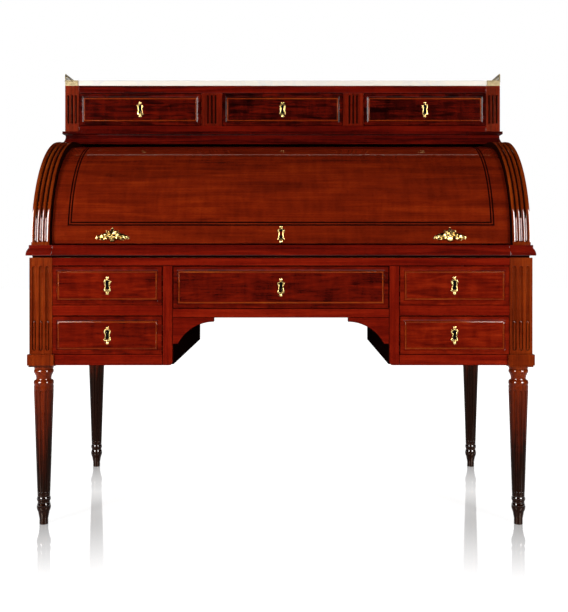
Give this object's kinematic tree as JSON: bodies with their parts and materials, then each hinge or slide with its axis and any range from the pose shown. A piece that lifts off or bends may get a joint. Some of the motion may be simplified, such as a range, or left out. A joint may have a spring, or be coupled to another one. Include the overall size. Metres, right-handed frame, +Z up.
{
  "type": "cylinder desk",
  "caption": "Neoclassical mahogany cylinder desk with a quarter-round shutter, a pull-out writing slide, locking drawers, fluted tapering legs and a galleried marble top.",
  "frame": {"origin": "centre of the footprint on the floor", "axes": "+Z up, -Y towards the person seated at the desk, +X to that person's right as seen from the front"},
  "size_m": [1.35, 0.7, 1.274],
  "materials": {
    "mahogany": "gloss varnish over figured veneer",
    "oak": "planed, waxed",
    "gilt_bronze": "chased and gilded",
    "brass": "polished",
    "iron": "forged, blackened",
    "marble": "polished white stone with grey veins",
    "leather": "smooth, gilt-tooled border"
  },
  "bodies": {
    "carcase": {"base_back": "mahogany", "base_side_left": "mahogany", "base_side_right": "mahogany", "cornice": "mahogany", "cylinder_side_left": "mahogany", "cylinder_side_right": "mahogany", "drawer_runners": "oak", "front_rails": "mahogany", "gallery": "brass", "kneehole_brackets": "mahogany", "kneehole_sides": "mahogany", "kneehole_stiles": "mahogany", "leg_front_left": "mahogany", "leg_front_right": "mahogany", "leg_rear_left": "mahogany", "leg_rear_right": "mahogany", "marble_top": "marble", "pigeonholes": "mahogany", "quadrant_left": "mahogany", "quadrant_right": "mahogany", "slide_bed": "oak", "upper_back": "mahogany", "upper_floor": "oak", "upper_moulding": "mahogany", "upper_pilasters": "mahogany", "upper_rails": "mahogany", "upper_sides": "mahogany"},
    "writing_slide": {"writing_slide": "mahogany", "slide_leather": "leather"},
    "cylinder": {"cylinder_shell": "mahogany", "cylinder_arms": "iron", "cylinder_handles": "gilt_bronze", "cylinder_lock": "gilt_bronze"},
    "drawer_left_lower": {"drawer_left_lower_front": "mahogany", "drawer_left_lower_box": "oak", "drawer_left_lower_lock": "gilt_bronze"},
    "drawer_left_upper": {"drawer_left_upper_front": "mahogany", "drawer_left_upper_box": "oak", "drawer_left_upper_lock": "gilt_bronze"},
    "drawer_right_lower": {"drawer_right_lower_front": "mahogany", "drawer_right_lower_box": "oak", "drawer_right_lower_lock": "gilt_bronze"},
    "drawer_right_upper": {"drawer_right_upper_front": "mahogany", "drawer_right_upper_box": "oak", "drawer_right_upper_lock": "gilt_bronze"},
    "drawer_centre": {"drawer_centre_front": "mahogany", "drawer_centre_box": "oak", "drawer_centre_lock": "gilt_bronze"},
    "drawer_top_left": {"drawer_top_left_front": "mahogany", "drawer_top_left_box": "oak", "drawer_top_left_lock": "gilt_bronze"},
    "drawer_top_centre": {"drawer_top_centre_front": "mahogany", "drawer_top_centre_box": "oak", "drawer_top_centre_lock": "gilt_bronze"},
    "drawer_top_right": {"drawer_top_right_front": "mahogany", "drawer_top_right_box": "oak", "drawer_top_right_lock": "gilt_bronze"},
    "inner_drawer_left": {"inner_drawer_left": "mahogany"},
    "inner_drawer_centre": {"inner_drawer_centre": "mahogany"},
    "inner_drawer_right": {"inner_drawer_right": "mahogany"}
  },
  "joints": [
    {"name": "cylinder_roll", "type": "hinge", "parent": "carcase", "child": "cylinder", "pos_m": [0, -0.0295, 0.7555], "axis": [-1, 0, 0], "range_deg": [0, 75]},
    {"name": "slide_pull", "type": "slide", "parent": "carcase", "child": "writing_slide", "axis": [0, -1, 0], "range_m": [0, 0.28]},
    {"name": "drawer_left_lower_pull", "type": "slide", "parent": "carcase", "child": "drawer_left_lower", "axis": [0, -1, 0], "range_m": [0, 0.4]},
    {"name": "drawer_left_upper_pull", "type": "slide", "parent": "carcase", "child": "drawer_left_upper", "axis": [0, -1, 0], "range_m": [0, 0.4]},
    {"name": "drawer_right_lower_pull", "type": "slide", "parent": "carcase", "child": "drawer_right_lower", "axis": [0, -1, 0], "range_m": [0, 0.4]},
    {"name": "drawer_right_upper_pull", "type": "slide", "parent": "carcase", "child": "drawer_right_upper", "axis": [0, -1, 0], "range_m": [0, 0.4]},
    {"name": "drawer_centre_pull", "type": "slide", "parent": "carcase", "child": "drawer_centre", "axis": [0, -1, 0], "range_m": [0, 0.4]},
    {"name": "drawer_top_left_pull", "type": "slide", "parent": "carcase", "child": "drawer_top_left", "axis": [0, -1, 0], "range_m": [0, 0.2]},
    {"name": "drawer_top_centre_pull", "type": "slide", "parent": "carcase", "child": "drawer_top_centre", "axis": [0, -1, 0], "range_m": [0, 0.2]},
    {"name": "drawer_top_right_pull", "type": "slide", "parent": "carcase", "child": "drawer_top_right", "axis": [0, -1, 0], "range_m": [0, 0.2]},
    {"name": "inner_drawer_left_pull", "type": "slide", "parent": "carcase", "child": "inner_drawer_left", "axis": [0, -1, 0], "range_m": [0, 0.11]},
    {"name": "inner_drawer_centre_pull", "type": "slide", "parent": "carcase", "child": "inner_drawer_centre", "axis": [0, -1, 0], "range_m": [0, 0.11]},
    {"name": "inner_drawer_right_pull", "type": "slide", "parent": "carcase", "child": "inner_drawer_right", "axis": [0, -1, 0], "range_m": [0, 0.11]}
  ]
}
